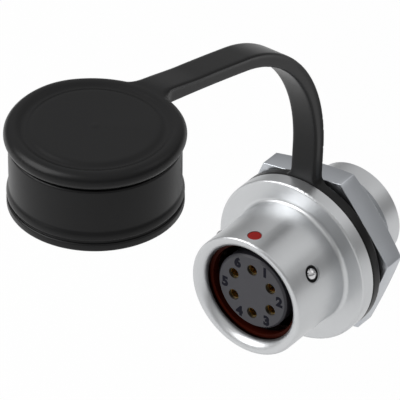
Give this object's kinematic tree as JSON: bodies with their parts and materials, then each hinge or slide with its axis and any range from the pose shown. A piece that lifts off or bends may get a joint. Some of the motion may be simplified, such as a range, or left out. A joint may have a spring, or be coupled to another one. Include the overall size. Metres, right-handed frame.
{
  "type": "panel-mount circular connector with sealing cap",
  "caption": "Round panel-mount connector with socket contacts, ball-detent coupling barrel, hex nut and a rubber sealing cap on a strap.",
  "frame": {"origin": "on the connector's axis, in the flange's rear face", "axes": "+Y along the connector's axis from the mating mouth to the solder tails, +Z towards the index dot, where the strap rises at rest, +X to the right seen from the mouth"},
  "size_m": [0.0194, 0.0547, 0.0439],
  "materials": {
    "satin_metal": "satin plated, turned",
    "nut_metal": "satin plated",
    "black_rubber": "satin moulded",
    "brown_rubber": "matte moulded",
    "insert_plastic": "matte moulded",
    "spring_steel": "bright",
    "gold_contact": "gold plated",
    "ball_steel": "polished",
    "index_red": "satin paint"
  },
  "bodies": {
    "shell": {"shell": "satin_metal", "panel_gasket": "black_rubber", "insulator": "insert_plastic", "rear_insulator": "insert_plastic", "retaining_ring": "spring_steel", "interface_seal": "brown_rubber", "detent_spring": "spring_steel", "index_dot": "index_red", "contact_1": "gold_contact", "contact_2": "gold_contact", "contact_3": "gold_contact", "contact_4": "gold_contact", "contact_5": "gold_contact", "contact_6": "gold_contact"},
    "nut": {"hex_nut": "nut_metal"},
    "strap": {"cap_strap": "black_rubber"},
    "cap": {"cap_body": "black_rubber", "cap_seal": "brown_rubber"},
    "ball_1": {"detent_ball_1": "ball_steel"},
    "ball_2": {"detent_ball_2": "ball_steel"},
    "ball_3": {"detent_ball_3": "ball_steel"}
  },
  "joints": [
    {"name": "nut_turn", "type": "hinge", "parent": "shell", "child": "nut", "pos_m": [0, 0, 0], "axis": [0, 1, 0], "continuous": true},
    {"name": "strap_swivel", "type": "hinge", "parent": "shell", "child": "strap", "pos_m": [0, 0, 0], "axis": [0, 1, 0], "continuous": true},
    {"name": "cap_swivel", "type": "hinge", "parent": "strap", "child": "cap", "pos_m": [0, -0.03409, 0.03], "axis": [0, 0, 1], "continuous": true},
    {"name": "ball_1_press", "type": "slide", "parent": "shell", "child": "ball_1", "axis": [-0.866, 0, -0.5], "range_m": [0, 0.00025], "stiffness_N_per_m": 2000, "deforming": ["detent_spring"]},
    {"name": "ball_2_press", "type": "slide", "parent": "shell", "child": "ball_2", "axis": [0.866, 0, -0.5], "range_m": [0, 0.00025], "stiffness_N_per_m": 2000, "deforming": ["detent_spring"]},
    {"name": "ball_3_press", "type": "slide", "parent": "shell", "child": "ball_3", "axis": [0, 0, 1], "range_m": [0, 0.00025], "stiffness_N_per_m": 2000, "deforming": ["detent_spring"]}
  ]
}
